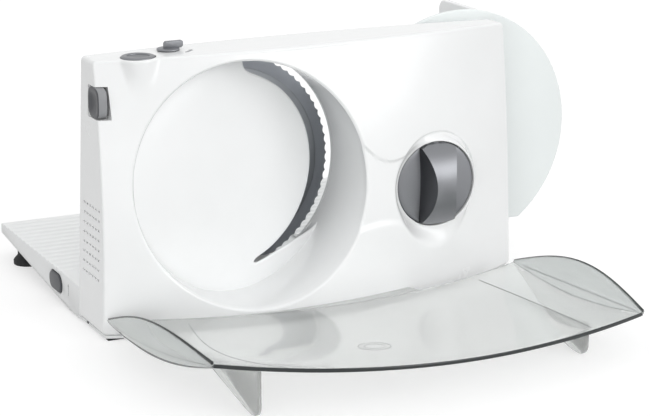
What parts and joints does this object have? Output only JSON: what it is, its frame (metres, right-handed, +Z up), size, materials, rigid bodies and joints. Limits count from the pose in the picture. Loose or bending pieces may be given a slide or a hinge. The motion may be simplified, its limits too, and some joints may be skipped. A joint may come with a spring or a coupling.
{
  "type": "electric food slicer",
  "caption": "Electric food slicer: curved housing with a round slice outlet, toothed disc blade, thickness knob and stop plate, sliding food sled on a ridged table, and a clear slice tray.",
  "frame": {"origin": "middle of the footprint, on the floor under the feet", "axes": "+Z up, +Y from the slice side to the food side, +X to the right seen from the slice side"},
  "size_m": [0.4292, 0.4684, 0.2078],
  "materials": {
    "white_gloss": "gloss white moulding",
    "white_satin": "satin white moulding",
    "pale_plastic": "pale cool white",
    "grey_plastic": "grey metallic paint",
    "dark_plastic": "dark grey",
    "gear_plastic": "natural nylon",
    "smoke_clear": "clear, lightly smoked",
    "blade_steel": "ground stainless steel",
    "plain_steel": "plain steel",
    "black_rubber": "matt black"
  },
  "bodies": {
    "housing": {"front_shell": "white_gloss", "rear_cover": "white_gloss", "table_base": "white_satin", "motor_case": "plain_steel", "motor_bracket": "plain_steel", "blade_bearing": "gear_plastic", "guide_bush_upper": "gear_plastic", "guide_bush_lower": "gear_plastic", "micro_switch": "dark_plastic", "interlock_cage": "white_satin", "rear_screw_1": "plain_steel", "rear_screw_2": "plain_steel", "rear_screw_3": "plain_steel", "rear_screw_4": "plain_steel", "front_foot_left": "black_rubber", "front_foot_right": "black_rubber", "rear_foot_left": "black_rubber", "rear_foot_right": "black_rubber"},
    "rotor": {"motor_shaft": "plain_steel", "armature": "plain_steel", "cooling_fan": "dark_plastic"},
    "idler": {"worm_wheel": "gear_plastic", "idler_pinion": "gear_plastic", "idler_shaft": "plain_steel"},
    "cutter": {"blade": "blade_steel", "blade_gear": "gear_plastic", "blade_screw": "plain_steel"},
    "knob": {"thickness_knob": "grey_plastic", "thickness_spindle": "plain_steel"},
    "stop": {"stop_plate": "pale_plastic", "guide_rod_upper": "plain_steel", "guide_rod_lower": "plain_steel"},
    "power": {"power_button": "grey_plastic"},
    "lock": {"lock_lever": "grey_plastic"},
    "interlock": {"interlock_button": "dark_plastic"},
    "release": {"release_button": "dark_plastic"},
    "sled": {"sled_deck": "white_satin", "sled_wall": "white_gloss"},
    "tray": {"slice_tray": "smoke_clear"}
  },
  "joints": [
    {"name": "motor_spin", "type": "hinge", "parent": "housing", "child": "rotor", "pos_m": [-0.14902, 0.01775, 0.06272], "axis": [1, 0, 0], "continuous": true},
    {"name": "idler_spin", "type": "hinge", "parent": "housing", "child": "idler", "pos_m": [-0.121, 0.02675, 0.08302], "axis": [0, 1, 0], "continuous": true},
    {"name": "blade_spin", "type": "hinge", "parent": "housing", "child": "cutter", "pos_m": [-0.08455, 0.05675, 0.102], "axis": [0, 1, 0], "continuous": true},
    {"name": "knob_turn", "type": "hinge", "parent": "housing", "child": "knob", "pos_m": [0.05795, -0.01225, 0.0876], "axis": [0, 1, 0], "range_deg": [0, 300]},
    {"name": "plate_slide", "type": "slide", "parent": "housing", "child": "stop", "axis": [0, -1, 0], "range_m": [0, 0.015]},
    {"name": "power_press", "type": "slide", "parent": "housing", "child": "power", "axis": [0, 0, -1], "range_m": [0, 0.003], "stiffness_N_per_m": 400},
    {"name": "lock_turn", "type": "hinge", "parent": "housing", "child": "lock", "pos_m": [-0.14305, 0.02475, 0.2], "axis": [0, 0, 1], "range_deg": [0, 60]},
    {"name": "interlock_press", "type": "slide", "parent": "housing", "child": "interlock", "axis": [1, 0, 0], "range_m": [0, 0.002], "stiffness_N_per_m": 300},
    {"name": "release_press", "type": "slide", "parent": "housing", "child": "release", "axis": [1, 0, 0], "range_m": [0, 0.003], "stiffness_N_per_m": 300},
    {"name": "sled_slide", "type": "slide", "parent": "housing", "child": "sled", "axis": [-1, 0, 0], "range_m": [0, 0.175]},
    {"name": "tray_pull", "type": "slide", "parent": "housing", "child": "tray", "axis": [0, -1, 0], "range_m": [0, 0.05]}
  ],
  "couplings": [
    {"joint": "idler_spin", "follows": "motor_spin", "ratio": 0.033333},
    {"joint": "blade_spin", "follows": "motor_spin", "ratio": -0.0083333},
    {"joint": "plate_slide", "follows": "knob_turn", "m_per_rad": 0.0028647}
  ]
}
